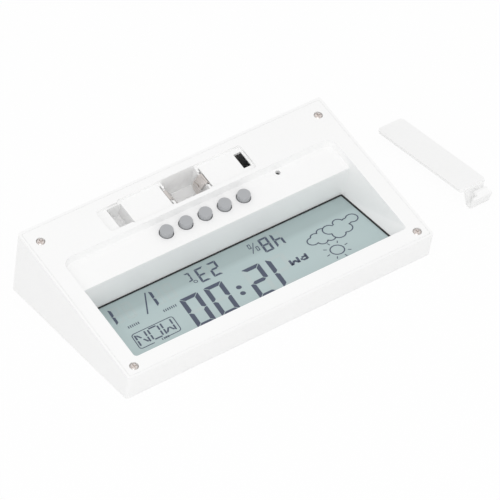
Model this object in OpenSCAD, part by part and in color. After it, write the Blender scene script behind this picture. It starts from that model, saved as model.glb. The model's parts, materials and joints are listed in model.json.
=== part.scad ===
// Desk digital alarm clock, lying on its flat face, with its battery cover taken off beside it.
// X runs along the long side. Y runs up the slope, from the thin end to the thick end. Z is up.
// The origin is the middle of the flat face that the clock lies on. Sizes are in millimetres.

/* [Case] */
// Length of the case along its long side
case_w = 150; // [146:1:170]
// Length of the sloped face from the thin end to the thick end
slope_run = 84; // [83:0.5:92]
// Height of the thin end, square to the sloped face
thin_h = 13.5; // [13:0.5:18]
// Angle between the sloped face and the flat face
slope_angle = 15.5; // [14:0.5:18]
// Thickness of the four side walls
case_wall = 2.2; // [2:0.1:2.4]
// Thickness of the flat face's panel
floor_t = 1.8; // [1.6:0.1:2.4]
// Radius of the four upright corners
corner_r = 1.2; // [0.6:0.1:2.5]
// Radius of the columns that take the corner screws
post_r = 2.6; // [2.3:0.1:2.7]
// Thickness of the web that joins a column to the side wall
post_web = 1.2; // [0.8:0.1:1.6]

/* [Top plate] */
// Thickness of the top plate
plate_t = 2.2; // [2:0.1:2.6]
// Width of the rim that the case shows round the plate
rim_w = 1.2; // [0.9:0.1:1.4]
// Gap between the plate and the rim
rim_gap = 0.05; // [0.05:0.05:0.3]
// Wall thickness of the display well and the button shelf
well_wall = 1.8; // [1.4:0.1:2]

/* [Corner screws] */
// Distance of the thin-end screws from the case's sides
screw_side_thin = 5.4; // [5.2:0.1:5.6]
// Distance of the thin-end screws from the thin end
screw_end_thin = 4.7; // [4.5:0.1:5]
// Distance of the thick-end screws from the case's sides
screw_side_thick = 6.2; // [5.4:0.1:7]
// Distance of the thick-end screws from the thick end
screw_end_thick = 8; // [6:0.5:9]
// Radius of a corner screw's head
screw_head_r = 1.75; // [1.5:0.05:2.05]
// Height of a corner screw's head
screw_head_h = 1; // [0.8:0.1:1.1]
// Radius of a corner screw's thread
screw_r = 0.95; // [0.8:0.05:1.1]
// Length of a corner screw under its head
screw_len = 9; // [6:0.5:9.5]
// Depth that a head lies below the plate's face
head_sink = 0.2; // [0.1:0.1:0.4]

/* [Display well] */
// Distance from the case's sides to the well's mouth
well_side = 8.2; // [8:0.1:9.5]
// Distance from the thin end to the well's near edge
well_near = 8.2; // [8:0.1:10]
// Distance from the thin end to the wall under the button shelf, at the plate's face
well_far = 48.8; // [44:0.1:49.4]
// Lean of the side walls over the well's depth
side_draft = 3.3; // [2:0.1:4]
// Lean of the near wall over the well's depth
near_draft = 1; // [0.5:0.1:1.5]
// Lean of the wall under the shelf over the well's depth
far_draft = 1.7; // [1:0.1:2.5]
// Radius of the well's corners under the shelf's edge
well_far_r = 1; // [0.6:0.1:2]
// Radius of the mouth's corners at the thin end
well_near_r = 1.5; // [1:0.1:2]
// Radius of the four corners at the display
well_foot_r = 0.6; // [0.3:0.1:1]

/* [Button shelf] */
// Depth of the shelf below the plate's face
shelf_depth = 4; // [3:0.1:4.5]
// Distance from the thin end to the shelf's step, at the plate's face
shelf_far = 63.4; // [63:0.1:63.6]
// Lean of the step round the shelf
step_draft = 0.7; // [0.3:0.1:1.5]
// Width of the slope between the step's foot and the shelf
step_ease = 1; // [0.5:0.1:1.5]
// Radius of the shelf's far corners
shelf_r = 4.5; // [3:0.1:6]

/* [Buttons] */
// Distance between the centres of two buttons
button_pitch = 9.55; // [9:0.05:10]
// Place of the middle button along X
button_mid = -0.45; // [-1:0.05:1]
// Radius of a button's cap
button_r = 2.8; // [2.4:0.1:3]
// Gap round a cap in its hole
button_gap = 0.4; // [0.3:0.05:0.6]
// Height of a cap above the shelf
button_rise = 2.5; // [1.9:0.1:2.8]
// Distance that a button travels when it is pressed
button_travel = 0.8; // [0.5:0.1:0.9]
// Distance of the row of buttons from the thin end
button_v = 57.1; // [56.8:0.1:58]
// Distance of the reset hole from the clock's middle
reset_x = 38.6; // [37:0.1:39]
// Distance of the reset hole from the thin end
reset_v = 61; // [60:0.1:61.2]
// Radius of the reset hole
reset_r = 1.1; // [0.8:0.05:1.3]
// Travel of the reset switch's plunger
reset_travel = 0.3; // [0.2:0.05:0.4]

/* [Display] */
// Thickness of each of the two sheets of glass
glass_t = 1.1; // [0.9:0.1:1.2]
// Thickness of the front polarising film
polariser_t = 0.2; // [0.15:0.05:0.3]
// Thickness of the rear film with its reflector
reflector_t = 0.3; // [0.2:0.05:0.4]
// Thickness of the dark gasket round the display
gasket_t = 0.4; // [0.3:0.1:0.6]
// Width of the gasket that shows inside the well
gasket_show = 0.6; // [0.5:0.1:1.4]
// Distance that the glass reaches past the well's foot
glass_margin = 2; // [1.8:0.1:2.1]
// Thickness of the display holder under the glass
holder_t = 0.9; // [0.8:0.1:1.2]
// Thickness of the display holder's side walls
holder_wall = 1; // [0.8:0.1:1.1]
// Width of each conductive rubber strip
zebra_w = 1.5; // [1.2:0.1:1.6]

/* [Circuit boards] */
// Thickness of the circuit boards
board_t = 1.2; // [1:0.1:1.4]
// Gap between the flat face's panel and the main board
board_gap = 1; // [0.9:0.1:1.4]
// Depth of the main board along Y
board_d = 62; // [60:0.5:66]
// Radius of the small screws' heads
small_head_r = 1.6; // [1.4:0.1:1.8]
// Height of the small screws' heads
small_head_h = 0.7; // [0.5:0.1:0.8]
// Radius of the small screws' threads
small_screw_r = 0.75; // [0.6:0.05:0.8]
// Length of the small screws under their heads
small_screw_len = 4.4; // [3.6:0.1:4.8]

/* [Battery bay] */
// Length of the cover's recess along X
recess_w = 61; // [60:0.5:64]
// Distance from the thin end to the recess's near edge
recess_near = 65.3; // [65.2:0.1:65.4]
// Distance from the thin end to the recess's far edge
recess_far = 78.9; // [78.7:0.1:79.2]
// Depth of the recess below the plate's face
recess_depth = 1.6; // [1.5:0.1:1.8]
// Thickness of the recess's floor and of the bay's walls
bay_wall = 1.4; // [1.2:0.1:1.6]
// Length of the bay along X
bay_w = 16.5; // [16:0.1:17]
// Place of the bay's middle along X
bay_x = -0.35; // [-1:0.05:1]
// Thickness of the rib between the bay and a contact's slot
rib_w = 0.9; // [0.7:0.1:1.2]
// Width of a contact's slot
slot_w = 0.75; // [0.6:0.05:0.9]
// Depth of the bay's floor below the plate's face
bay_depth = 13; // [12.8:0.1:14]
// Length of the finger notch past the recess
notch_w = 10.8; // [9:0.1:11.4]
// Amount that the notch is narrower than the recess on each side
notch_step = 0.9; // [0.5:0.1:1.2]
// Length of the ramp at the notch's end
notch_ramp = 4.6; // [3.5:0.1:5]
// Length of the latch's slot along X
latch_slot_w = 7; // [6.8:0.1:7.4]
// Length of the tongue's slot along X
tongue_slot_w = 3.6; // [3.4:0.1:4]

/* [Battery cover] */
// Thickness of the cover
cover_t = 1.5; // [1.3:0.1:1.5]
// Gap between the cover and its recess
cover_gap = 0.2; // [0.15:0.05:0.3]
// Width of the latch
latch_w = 9.4; // [9:0.1:10.2]
// Width of the latch's thumb tab
tab_w = 6; // [5:0.1:7]
// Thickness of the latch's strip
leg_t = 1.2; // [1:0.1:1.4]
// Lean of the latch's outer leg
latch_lean = 27; // [22:1:30]
// Depth of the latch's lowest point below the cover's face
latch_drop = 8.8; // [8.4:0.1:9.2]
// Width of the tongue
tongue_w = 7.8; // [7.4:0.1:8.4]
// Place of the loose cover's middle along X
cover_x = 110.6; // [104:0.2:130]
// Place of the loose cover's middle along Y
cover_y = 4; // [-10:1:20]

/* [Hidden] */
$fn = 48;
// Overrun of every cut past the face that it opens
over = 1;
// Running gap between small parts that slide or screw together
fit = 0.05;
// Gap between parts that are laid in or clipped in
play = 0.2;
// Thickness of the slabs that the leaning walls are spanned between
skin = 0.02;
// Overrun of the well's cut past its foot
foot_over = 0.2;

// Frame of the sloped face: its origin is on the outer edge of the thin end
slope_sin = sin(slope_angle);
slope_cos = cos(slope_angle);
slope_tan = tan(slope_angle);
base_d = slope_run / slope_cos;
slope_y0 = -base_d / 2 - thin_h * slope_sin;
slope_z0 = thin_h * slope_cos;
// Where a line square to the slope, leaving it at distance v, meets the height z
function drop_y(v, z) = slope_y0 + (slope_z0 - z) * slope_tan + v / slope_cos;

// Width of the well's mouth along X
well_w = case_w - 2 * well_side;

// Heights of the display's layers above the table
board_z = floor_t + board_gap;
board_top = board_z + board_t;
reflector_z = board_top + holder_t;
rear_glass_z = reflector_z + reflector_t;
front_glass_z = rear_glass_z + glass_t;
polariser_z = front_glass_z + glass_t;
gasket_z = polariser_z + polariser_t;
foot_z = gasket_z + gasket_t;

// The well's foot, which frames the display
window_x = well_w / 2 - side_draft;
window_y0 = drop_y(well_near + near_draft, foot_z);
window_y1 = drop_y(well_far - far_draft, foot_z);
glass_x = window_x + glass_margin;
glass_y0 = window_y0 - glass_margin;
glass_y1 = window_y1 + glass_margin;
holder_x = glass_x + play + holder_wall;
holder_y0 = glass_y0 - play - holder_wall;
holder_y1 = glass_y1 + play + holder_wall;
flange_t = 1.5;
zebra_len_x = glass_x - glass_margin;

// Rows of fasteners
screw_places = [
    [case_w / 2 - screw_side_thin, screw_end_thin],
    [-case_w / 2 + screw_side_thin, screw_end_thin],
    [case_w / 2 - screw_side_thick, slope_run - screw_end_thick],
    [-case_w / 2 + screw_side_thick, slope_run - screw_end_thick]];
counterbore_r = screw_head_r + play;
counterbore_depth = screw_head_h + head_sink;
board_post_r = 2;
board_post_x = holder_x + board_post_r + play;
board_post_side_share = [0.16, 0.5, 0.84];
board_post_back_x = holder_x * 0.45;
board_post_back_y = holder_y1 + board_post_r + play;
board_posts = concat(
    [for (side = [-1, 1]) for (share = board_post_side_share)
        [side * board_post_x, holder_y0 + share * (holder_y1 - holder_y0)]],
    [for (side = [-1, 1]) [side * board_post_back_x, board_post_back_y]]);

// Main board
board_x = case_w / 2 - case_wall - 2.5 * play;
board_y0 = -base_d / 2 + case_wall / slope_cos - board_z * slope_tan + 2.5 * play;
board_y1 = board_y0 + board_d;
parts_y = (holder_y1 + board_post_r + board_y1) / 2;

// Keys and key board, in depths below the plate's face
shelf_under = shelf_depth + well_wall;
key_flange_t = 0.8;
key_flange_r = button_r + button_gap + 0.7;
key_stem_r = 2;
key_stem_len = 1.3;
pill_t = 0.4;
pill_r = 1.5;
key_flange_depth = shelf_under + fit;
pill_depth = key_flange_depth + key_flange_t + key_stem_len;
key_board_depth = pill_depth + pill_t + button_travel;
mat_t = 1;
mat_hole_r = 3.7;
mat_wall = 0.5;
mat_skirt_h = 0.5;
cap_chamfer = 0.2;
cap_crown = 0.12;
button_count = 5;
mat_edge = 4.1;
key_post_r = 1.9;
reset_body = 4.4;
reset_post_step = 5;
key_post_x = (button_count - 1) / 2 * button_pitch + key_flange_r + key_post_r + 2 * play;
key_post_v = button_v;
reset_post_x = reset_x + reset_body / 2 + key_post_r + 4 * play;
reset_post_v = reset_v - reset_post_step;
key_posts = [
    [button_mid - key_post_x, key_post_v],
    [button_mid + key_post_x, key_post_v],
    [reset_post_x, reset_post_v]];
key_board_v0 = well_far + well_wall + play;
key_board_v1 = recess_near - bay_wall - play;
key_board_x0 = button_mid - key_post_x - key_post_r - 2 * play;
key_board_x1 = reset_post_x + key_post_r + 2 * play;

// Reset switch
reset_body_h = 1.6;
reset_plunger_r = 0.9;
reset_plunger_rise = 0.6;

// Battery bay and its metal
bay_near = recess_near + 0.6;
bay_v = (bay_near + recess_far) / 2;
strip_t = 0.3;
contact_w = 5.8;
contact_shift = -0.25;
contact_v = bay_v + contact_shift;
contact_sink = 0.4;
// Distances of a slot's two walls and of its contact from the bay's middle
slot_in = bay_w / 2 + rib_w;
slot_out = slot_in + slot_w;
contact_x = slot_in + contact_sink;
contact_top = recess_depth + play;
slot_end = 2.4;
slot_depth = 6;
bend_steps = 6;
fold_r = 0.4;
// Hoop of the negative contact, measured from its plate: it bows into the bay and back
hoop_flat = 0.35;
hoop_r = 0.75;
hoop_end_angle = 32;
hoop_waist = 4.3;
hoop_waist_len = 4.9;
hoop_foot = 2.6;
hoop_foot_len = 7.6;
// Leaf of the spring contact, measured from its plate: a crease, a slanting face and a rounded nose
leaf_w = 5.2;
crease_at = 0.83;
crease_t = 0.3;
leaf_reach = 3.85;
leaf_drop = 3.15;
nose_len = 4;
// Notch in a rib, under the top of its contact
rib_notch_end = 0.8;
rib_notch_depth = contact_top + strip_t + crease_t + play;
tail_w = 4;
tail_len = 2.5;
wire_r = 0.65;
wire_sides = 8;
wire_rings = 14;
wire_spread = 6;

// Latch slot and tongue slot, along X. Under its lip the latch slot widens into a pocket with a floor
latch_slot_x1 = -recess_w / 2 + 1.5;
latch_slot_x0 = latch_slot_x1 - latch_slot_w;
latch_slot_half = latch_w / 2 + 2.5 * play;
latch_ear = 0.8;
latch_lip = 0.5;
latch_undercut = 1.6;
latch_pocket_depth = latch_drop + 3 * play;
notch_r = 1.5;
tongue_ledge = 0.75;
tongue_slot_x1 = recess_w / 2 - tongue_ledge;

// Battery cover in its own frame: face at z = 0, latch end at low x
cover_l = recess_w - 2 * cover_gap;
cover_w = recess_far - recess_near - 2 * cover_gap;
cover_r = 1.8;
leg_root = 0.1;
bend_r = 2.1;
bend_out = 2.25;
latch_bend_steps = 16;
catch_depth = recess_depth + latch_lip + play / 2;
bend_depth = latch_drop - bend_r;
tongue_t = 1;
hook_r = 0.5;
hook_out = 1.4;
// Thumb tab, measured outward from the cover's end and down from its face
tab_in = 4;
tab_out = 5.8;
tab_bevel = 0.5;
tab_top = 0.15;
tab_shift = 0.4;
// Outer leg of the latch: its middle line leaves the bend and ends at the catches
leg_dir = [sin(latch_lean), cos(latch_lean)];
leg_side = [cos(latch_lean), -sin(latch_lean)];
leg_start = [bend_out, -bend_depth] + (bend_r - leg_t / 2) * leg_side;
leg_end = leg_start + (-catch_depth - leg_start.y) / leg_dir.y * leg_dir;
hook_depth = recess_depth + bay_wall + play + hook_r;
// The loose cover lies on its latch and its tongue: the tilt that puts both on the table
rest_dx = cover_l + bend_out + hook_out - hook_r;
rest_dz = bend_depth - hook_depth;
cover_tilt = atan2(rest_dz, rest_dx) + asin((bend_r - hook_r) / norm([rest_dx, rest_dz]));
cover_lift = hook_r + (cover_l / 2 + hook_out - hook_r) * sin(cover_tilt) + hook_depth * cos(cover_tilt);

module on_slope() {
    translate([0, slope_y0, slope_z0]) rotate([slope_angle, 0, 0]) children();
}

// Rectangle with true arcs at its corners, from corner a to corner b
module round_rect(a, b, r) {
    translate([a.x + r, a.y]) square([b.x - a.x - 2 * r, b.y - a.y]);
    translate([a.x, a.y + r]) square([b.x - a.x, b.y - a.y - 2 * r]);
    for (x = [a.x + r, b.x - r]) for (y = [a.y + r, b.y - r]) translate([x, y]) circle(r);
}

// Block from corner a to corner b
module block(a, b) {
    translate(a) cube(b - a);
}

// Everything above the height z
module above(z) {
    reach = case_w + slope_run;
    translate([-reach, -reach, z]) cube([2 * reach, 2 * reach, reach]);
}

// Case: walls square to the sloped face, standing on the flat face
module case_outer() {
    deep = thin_h + slope_run * slope_tan;
    intersection() {
        on_slope() translate([0, 0, -deep]) linear_extrude(deep)
            round_rect([-case_w / 2, 0], [case_w / 2, slope_run], corner_r);
        above(0);
    }
}

module case_posts() {
    deep = thin_h + slope_run * slope_tan;
    for (p = screw_places) {
        side = sign(p.x);
        translate([p.x, p.y, -deep - plate_t]) cylinder(r = post_r, h = deep);
        translate([min(p.x, side * (case_w / 2 - case_wall)), p.y - post_web / 2, -deep - plate_t])
            cube([case_w / 2 - case_wall / 2 - abs(p.x), post_web, deep]);
    }
}

module case_shell() {
    deep = thin_h + slope_run * slope_tan;
    in_x = case_w / 2 - case_wall;
    color([0.93, 0.93, 0.93]) difference() {
        union() {
            difference() {
                case_outer();
                intersection() {
                    on_slope() translate([0, 0, -deep]) linear_extrude(deep + over)
                        translate([-in_x, case_wall]) square([2 * in_x, slope_run - 2 * case_wall]);
                    above(floor_t);
                }
            }
            intersection() {
                case_outer();
                on_slope() case_posts();
            }
        }
        on_slope() translate([0, 0, -plate_t]) linear_extrude(plate_t + over)
            round_rect([-case_w / 2 + rim_w, rim_w], [case_w / 2 - rim_w, slope_run - rim_w],
                corner_r / 2);
        on_slope() for (p = screw_places)
            translate([p.x, p.y, -counterbore_depth - screw_len - fit])
                cylinder(r = screw_r + fit, h = screw_len);
    }
}

// Four posts of the well's leaning walls, spanned into one solid, grown by extra on every side
module well_solid(extra, top_over, low_over) {
    near_r = well_near_r + extra;
    far_r = well_far_r + extra;
    foot_r = well_foot_r + extra;
    hull() {
        on_slope() for (side = [-1, 1]) {
            translate([side * (well_w / 2 + extra - near_r), well_near - extra + near_r, -skin])
                cylinder(r = near_r, h = skin + top_over, $fn = 32);
            translate([side * (well_w / 2 + extra - far_r), well_far + extra - far_r, -skin])
                cylinder(r = far_r, h = skin + top_over, $fn = 32);
        }
        for (side = [-1, 1]) for (y = [window_y0 - extra + foot_r, window_y1 + extra - foot_r])
            translate([side * (window_x + extra - foot_r), y, foot_z - low_over])
                cylinder(r = foot_r, h = skin + low_over, $fn = 32);
    }
}

// Post of the shelf's pocket, inset from the pocket's outline, from a depth upward. The pocket is a
// hair wider than the well, so that their two side walls never lie in one plane
module shelf_post(side, v, inset, depth, height) {
    translate([side * (well_w / 2 + fit - shelf_r), v, -depth])
        cylinder(r = shelf_r - inset, h = height, $fn = 32);
}

// The shelf's shallow pocket, grown by extra on every side and under its floor
module shelf_solid(extra, top_over) {
    far = shelf_far - shelf_r;
    near = well_far - shelf_r;
    hull() on_slope() for (side = [-1, 1]) for (v = [near, far]) {
        shelf_post(side, v, -extra, skin, skin + top_over);
        shelf_post(side, v, step_draft - extra, shelf_depth - step_ease / 2 + extra, skin);
        shelf_post(side, v, step_draft + step_ease - extra, shelf_depth + extra, skin);
    }
}

module plate_blank() {
    on_slope() {
        gap = rim_w + rim_gap;
        translate([0, 0, -plate_t]) linear_extrude(plate_t)
            round_rect([-case_w / 2 + gap, gap], [case_w / 2 - gap, slope_run - gap], corner_r / 2);
        block([-recess_w / 2 - notch_w - bay_wall, recess_near, -recess_depth - bay_wall],
            [recess_w / 2 + bay_wall, recess_far + bay_wall, -plate_t / 2]);
        block([bay_x - slot_out - bay_wall, bay_near - bay_wall, -bay_depth - bay_wall],
            [bay_x + slot_out + bay_wall, recess_far + bay_wall, -plate_t / 2]);
        block([latch_slot_x0 - latch_undercut - bay_wall, bay_v - latch_slot_half - bay_wall,
                -latch_pocket_depth - bay_wall],
            [latch_slot_x1 + bay_wall, bay_v + latch_slot_half + bay_wall, -plate_t / 2]);
        for (p = key_posts) translate([p.x, p.y, -key_board_depth])
            cylinder(r = key_post_r, h = key_board_depth - shelf_depth - well_wall / 2);
    }
    well_solid(well_wall, 0, 0);
    shelf_solid(well_wall, 0);
    block([-holder_x, holder_y0, foot_z], [holder_x, holder_y1, foot_z + flange_t]);
    for (p = board_posts) {
        toward = abs(p.x) > holder_x ? [-sign(p.x), 0] : [0, -1];
        reach = board_post_r + play + holder_wall;
        far = [p.x, p.y] + toward * reach;
        translate([p.x, p.y, board_top]) cylinder(r = board_post_r, h = foot_z + flange_t - board_top);
        block([min(p.x, far.x) - (toward.x == 0 ? board_post_r : 0),
                min(p.y, far.y) - (toward.y == 0 ? board_post_r : 0), foot_z],
            [max(p.x, far.x) + (toward.x == 0 ? board_post_r : 0),
                max(p.y, far.y) + (toward.y == 0 ? board_post_r : 0), foot_z + flange_t]);
    }
}

// Recess, finger notch, latch slot, tongue slot and bay, cut from the plate. The floor is thin along
// the end of the tongue slot, where the cover's hook goes under it
module battery_cuts() {
    notch_v0 = recess_near + notch_step;
    notch_v1 = recess_far - notch_step;
    notch_x0 = -recess_w / 2 - notch_w;
    floor_deep = recess_depth + bay_wall + over;
    scoop_r = (pow(notch_ramp, 2) + pow(recess_depth, 2)) / (2 * recess_depth);
    translate([0, 0, -recess_depth]) linear_extrude(recess_depth + over) {
        round_rect([-recess_w / 2, recess_near], [recess_w / 2, recess_far], corner_r);
        translate([notch_x0 + notch_ramp, notch_v0]) square([notch_w, notch_v1 - notch_v0]);
    }
    intersection() {
        translate([notch_x0 + notch_ramp, notch_v0 - over, scoop_r - recess_depth]) rotate([-90, 0, 0])
            cylinder(r = scoop_r, h = notch_v1 - notch_v0 + 2 * over, $fn = 96);
        translate([0, 0, -recess_depth - over]) linear_extrude(recess_depth + 2 * over)
            round_rect([notch_x0, notch_v0], [notch_x0 + 2 * notch_ramp, notch_v1], notch_r);
    }
    block([latch_slot_x0, bay_v - latch_slot_half, -latch_pocket_depth],
        [latch_slot_x1, bay_v + latch_slot_half, 0]);
    block([latch_slot_x0 - latch_undercut, bay_v - latch_slot_half, -latch_pocket_depth],
        [latch_slot_x1, bay_v + latch_slot_half, -recess_depth - latch_lip]);
    block([latch_slot_x1 - latch_ear, bay_v - latch_slot_half - latch_ear, -floor_deep],
        [latch_slot_x1, bay_v + latch_slot_half, 0]);
    tongue_half = tongue_w / 2 + play;
    block([tongue_slot_x1 - tongue_slot_w, bay_v - tongue_half, -floor_deep],
        [tongue_slot_x1, bay_v + tongue_half, 0]);
    block([tongue_slot_x1 - tongue_slot_w, bay_v - tongue_half, -floor_deep],
        [tongue_slot_x1 + tongue_ledge + play, bay_v + tongue_half, -recess_depth - latch_lip]);
    translate([bay_x, 0, 0]) {
        block([-bay_w / 2, bay_near, -bay_depth], [bay_w / 2, recess_far, 0]);
        for (side = [0, 1]) mirror([side, 0, 0]) contact_cuts();
    }
}

// Slot of a contact behind the bay's rib, its tail's hole, and the rib's notch
module contact_cuts() {
    groove_half = contact_w / 2 + fit;
    tail_half = tail_w / 2 + fit;
    slot_half = contact_w / 2 + slot_end;
    notch_half = contact_w / 2 + rib_notch_end;
    block([slot_in, contact_v - slot_half, -slot_depth], [slot_out, contact_v + slot_half, 0]);
    block([slot_in, contact_v - groove_half, -bay_depth], [slot_out, contact_v + groove_half, 0]);
    block([contact_x - strip_t / 2 - fit, contact_v - tail_half, -bay_depth - bay_wall - over],
        [contact_x + strip_t / 2 + fit, contact_v + tail_half, -bay_depth + over]);
    block([bay_w / 2 - over, contact_v - notch_half, -rib_notch_depth],
        [slot_in + slot_w / 2, contact_v + notch_half, 0]);
}

module top_plate() {
    color([0.97, 0.97, 0.97]) difference() {
        plate_blank();
        well_solid(0, over, foot_over);
        shelf_solid(0, over);
        on_slope() {
            battery_cuts();
            for (p = screw_places) translate([p.x, p.y, 0]) {
                translate([0, 0, -counterbore_depth])
                    cylinder(r = counterbore_r, h = counterbore_depth + over);
                translate([0, 0, -plate_t - over]) cylinder(r = screw_r + play, h = plate_t + over);
            }
            for (i = [1 : button_count]) translate([button_x(i), button_v, -shelf_under - over])
                cylinder(r = button_r + button_gap, h = shelf_under + over);
            translate([reset_x, reset_v, -shelf_under - over]) cylinder(r = reset_r, h = shelf_under + over);
            for (p = key_posts) translate([p.x, p.y, -key_board_depth - over])
                cylinder(r = small_screw_r + fit, h = small_screw_len - board_t + fit + over);
        }
        for (p = board_posts) translate([p.x, p.y, board_top - over])
            cylinder(r = small_screw_r + fit, h = small_screw_len - board_t + fit + over);
    }
}

// Cross-head screw, head up, with its head's seat at z = 0
module screw(head_r, head_h, r, len) {
    cross_w = head_r * 0.3;
    cross_l = head_r * 1.3;
    difference() {
        union() {
            cylinder(r = head_r, h = head_h * 0.6);
            translate([0, 0, head_h * 0.6]) cylinder(r1 = head_r, r2 = head_r * 0.75, h = head_h * 0.4);
            translate([0, 0, -len]) cylinder(r = r, h = len);
        }
        for (turn = [0, 90]) rotate(turn)
            translate([-cross_l / 2, -cross_w / 2, head_h * 0.35]) cube([cross_l, cross_w, head_h]);
    }
}

module corner_screws() {
    color([0.72, 0.7, 0.66]) on_slope() for (p = screw_places)
        translate([p.x, p.y, -counterbore_depth])
            screw(screw_head_r, screw_head_h, screw_r, screw_len - 2 * fit);
}

// Flat sheet of the display between two heights, inset from the glass's outline
module sheet(inset, z0, z1) {
    block([-glass_x + inset, glass_y0 + inset, z0], [glass_x - inset, glass_y1 - inset, z1]);
}

module display_gasket() {
    color([0.06, 0.06, 0.06]) difference() {
        sheet(glass_margin / 4, gasket_z, foot_z);
        sheet(glass_margin + gasket_show, gasket_z - over, foot_z + over);
    }
}

module front_polariser() {
    color([0.72, 0.78, 0.78]) sheet(glass_margin / 4, polariser_z, gasket_z);
}

module front_glass() {
    color([0.8, 0.86, 0.86]) sheet(0, front_glass_z, polariser_z);
}

module rear_glass() {
    color([0.76, 0.82, 0.82])
        block([-glass_x, window_y0, rear_glass_z], [glass_x, window_y1, front_glass_z]);
}

module rear_reflector() {
    edge = glass_margin / 4;
    color([0.82, 0.84, 0.84])
        block([-glass_x + edge, window_y0 + edge, reflector_z],
            [glass_x - edge, window_y1 - edge, rear_glass_z]);
}

module display_holder() {
    rim = 5;
    color([0.85, 0.85, 0.83]) difference() {
        block([-holder_x, holder_y0, board_top], [holder_x, holder_y1, foot_z]);
        sheet(-play, front_glass_z, foot_z + over);
        block([-glass_x - play, window_y0 - zebra_w - play, reflector_z],
            [glass_x + play, window_y1 + zebra_w + play, front_glass_z + over]);
        for (y = [window_y0 - zebra_w - play, window_y1])
            translate([-zebra_len_x - play, y, board_top - over])
                cube([2 * zebra_len_x + 2 * play, zebra_w + play, reflector_z - board_top + 2 * over]);
        block([-window_x + rim, window_y0 + rim, board_top - over],
            [window_x - rim, window_y1 - rim, foot_z]);
    }
}

module zebra_strips() {
    color([0.25, 0.25, 0.27]) for (y = [window_y0 - zebra_w - play / 2, window_y1 + play / 2])
        translate([-zebra_len_x, y, board_top]) cube([2 * zebra_len_x, zebra_w, front_glass_z - board_top]);
}

module main_board() {
    post_x = case_w / 2 - screw_side_thin - post_r - 2 * play;
    post_y = drop_y(screw_end_thin, board_z) + post_r + 2 * play;
    color([0.13, 0.42, 0.24]) difference() {
        block([-board_x, board_y0, board_z], [board_x, board_y1, board_top]);
        for (side = [-1, 1])
            translate([side > 0 ? post_x : -post_x - board_x, board_y0 - over, board_z - over])
                cube([board_x, post_y - board_y0 + over, board_t + 2 * over]);
        for (p = board_posts) translate([p.x, p.y, board_z - over])
            cylinder(r = small_screw_r + play, h = board_t + 2 * over);
    }
}

module board_screws() {
    color([0.75, 0.74, 0.7]) for (p = board_posts) translate([p.x, p.y, board_z]) rotate([180, 0, 0])
        screw(small_head_r, small_head_h, small_screw_r, small_screw_len - fit);
}

// Sizes of the parts on the main board, and their places along its free strip as shares of half its width
blob_r = 5;
blob_x = bay_x - (slot_out + wire_spread + wire_r + play + blob_r);
sensor_l = 8;
sensor_w = 5;
sensor_h = 3;
resistor_l = 2;
resistor_w = 1.25;
resistor_h = 0.5;
crystal_x_share = 0.3;
capacitor_x_share = 0.55;
buzzer_x_share = -0.66;
temperature_x_share = 0.72;
humidity_x_share = 0.87;
resistor_x_shares = [-0.15, -0.11, 0.11, 0.36, 0.4, 0.44];

module chip_blob() {
    blob_h = 1.5;
    ball_r = (pow(blob_r, 2) + pow(blob_h, 2)) / (2 * blob_h);
    color([0.05, 0.05, 0.05]) translate([blob_x, parts_y, board_top]) intersection() {
        translate([0, 0, blob_h - ball_r]) sphere(ball_r);
        cylinder(r = blob_r + over, h = blob_h + over);
    }
}

module clock_crystal() {
    can_r = 1;
    can_l = 6;
    color([0.8, 0.8, 0.78]) translate([crystal_x_share * board_x, parts_y - can_l / 2, board_top + can_r])
        rotate([-90, 0, 0]) cylinder(r = can_r, h = can_l);
}

module filter_capacitor() {
    can_r = 2.5;
    can_h = 6;
    groove = 0.3;
    color([0.12, 0.13, 0.3]) translate([capacitor_x_share * board_x, parts_y, board_top]) difference() {
        cylinder(r = can_r, h = can_h);
        translate([0, 0, 2 * groove]) rotate_extrude() translate([can_r, groove]) circle(groove, $fn = 24);
    }
}

module chip_resistors() {
    size = [resistor_w, resistor_l, resistor_h];
    color([0.15, 0.15, 0.16]) for (share = resistor_x_shares)
        translate([share * board_x - size.x / 2, parts_y - size.y / 2, board_top]) cube(size);
}

module buzzer() {
    can_r = 5;
    can_h = 5.5;
    hole_r = 0.9;
    wall = 0.6;
    color([0.08, 0.08, 0.08]) translate([buzzer_x_share * board_x, parts_y, board_top]) difference() {
        cylinder(r = can_r, h = can_h);
        translate([0, 0, wall]) cylinder(r = can_r - wall, h = can_h - 2 * wall);
        translate([0, 0, can_h / 2]) cylinder(r = hole_r, h = can_h);
    }
}

module temperature_sensor() {
    bead_r = 1.2;
    leg_r = 0.25;
    leg_gap = 0.6;
    leg_h = 3;
    color([0.1, 0.1, 0.1]) translate([temperature_x_share * board_x, parts_y, board_top]) {
        translate([0, 0, leg_h + bead_r]) sphere(bead_r);
        for (side = [-1, 1]) translate([side * leg_gap, 0, 0]) cylinder(r = leg_r, h = leg_h + bead_r / 2);
    }
}

module humidity_sensor() {
    size = [sensor_l, sensor_w, sensor_h];
    wall = 0.5;
    bars = 4;
    pitch = (size.x - 2 * wall) / bars;
    color([0.9, 0.9, 0.88])
        translate([humidity_x_share * board_x - size.x / 2, parts_y - size.y / 2, board_top]) difference() {
            cube(size);
            translate([wall, wall, wall]) cube(size - 2 * [wall, wall, wall]);
            for (i = [0 : bars - 1]) translate([wall + i * pitch + wall / 2, 2 * wall, size.z - 2 * wall])
                cube([pitch - wall, size.y - 4 * wall, size.z]);
        }
}

// Keys
function button_x(i) = button_mid + (i - (button_count + 1) / 2) * button_pitch;

module at_key(x, v) {
    on_slope() translate([x, v, 0]) children();
}

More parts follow.
